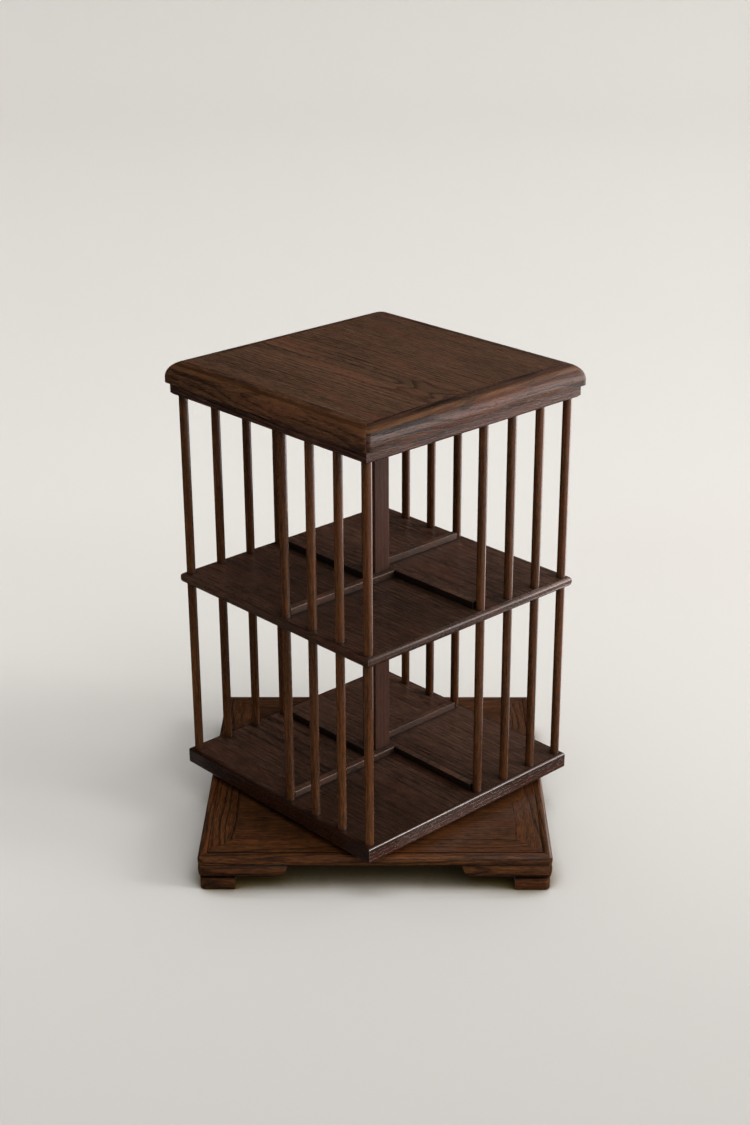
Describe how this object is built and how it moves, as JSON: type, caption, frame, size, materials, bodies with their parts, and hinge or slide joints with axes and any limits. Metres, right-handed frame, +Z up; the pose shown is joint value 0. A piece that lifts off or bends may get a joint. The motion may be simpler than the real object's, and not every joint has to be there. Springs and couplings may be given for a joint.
{
  "type": "revolving bookcase",
  "caption": "Square tiered revolving bookcase: open shelves caged by round rods about a centre post, swivelling on a low moulded base with bracket feet.",
  "frame": {"origin": "on the floor, under the swivel axis", "axes": "+Z up along the swivel axis; X and Y along the sides of the square case at rest, front is -Y; the square base is turned 46.5 degrees about Z from the case"},
  "size_m": [0.6506, 0.6506, 0.6524],
  "materials": {
    "top_wood": "satin",
    "shelf_wood": "satin",
    "rod_wood": "satin",
    "base_wood": "satin",
    "steel": "satin",
    "cage_plastic": "matte"
  },
  "bodies": {
    "base": {"lower_plate": "steel", "pivot_bolt": "steel", "base_panel": "base_wood", "base_rail_front": "base_wood", "base_rail_right": "base_wood", "base_rail_back": "base_wood", "base_rail_left": "base_wood", "foot_bracket_front_right": "base_wood", "foot_bracket_back_right": "base_wood", "foot_bracket_back_left": "base_wood", "foot_bracket_front_left": "base_wood", "foot_block_front_right": "base_wood", "foot_block_back_right": "base_wood", "foot_block_back_left": "base_wood", "foot_block_front_left": "base_wood"},
    "cage": {"roller_cage": "cage_plastic", "rollers": "steel"},
    "case": {"top_panel": "top_wood", "top_moulding_front": "top_wood", "top_moulding_right": "top_wood", "top_moulding_back": "top_wood", "top_moulding_left": "top_wood", "apron_rail_front": "shelf_wood", "apron_rail_right": "shelf_wood", "apron_rail_back": "shelf_wood", "apron_rail_left": "shelf_wood", "rod_front_1": "rod_wood", "rod_front_2": "rod_wood", "rod_front_3": "rod_wood", "rod_front_4": "rod_wood", "rod_right_1": "rod_wood", "rod_right_2": "rod_wood", "rod_right_3": "rod_wood", "rod_right_4": "rod_wood", "rod_back_1": "rod_wood", "rod_back_2": "rod_wood", "rod_back_3": "rod_wood", "rod_back_4": "rod_wood", "rod_left_1": "rod_wood", "rod_left_2": "rod_wood", "rod_left_3": "rod_wood", "rod_left_4": "rod_wood", "middle_shelf": "shelf_wood", "bottom_shelf": "shelf_wood", "bottom_lipping_front": "shelf_wood", "bottom_lipping_right": "shelf_wood", "bottom_lipping_back": "shelf_wood", "bottom_lipping_left": "shelf_wood", "lower_divider_front": "shelf_wood", "lower_divider_right": "shelf_wood", "lower_divider_back": "shelf_wood", "lower_divider_left": "shelf_wood", "upper_divider_front": "shelf_wood", "upper_divider_right": "shelf_wood", "upper_divider_back": "shelf_wood", "upper_divider_left": "shelf_wood", "centre_post": "rod_wood", "upper_plate": "steel"}
  },
  "joints": [
    {"name": "case_spin", "type": "hinge", "parent": "base", "child": "case", "pos_m": [0, 0, 0.0561], "axis": [0, 0, 1], "continuous": true},
    {"name": "cage_spin", "type": "hinge", "parent": "base", "child": "cage", "pos_m": [0, 0, 0.0561], "axis": [0, 0, 1], "continuous": true}
  ],
  "couplings": [
    {"joint": "cage_spin", "follows": "case_spin", "ratio": 0.5}
  ]
}
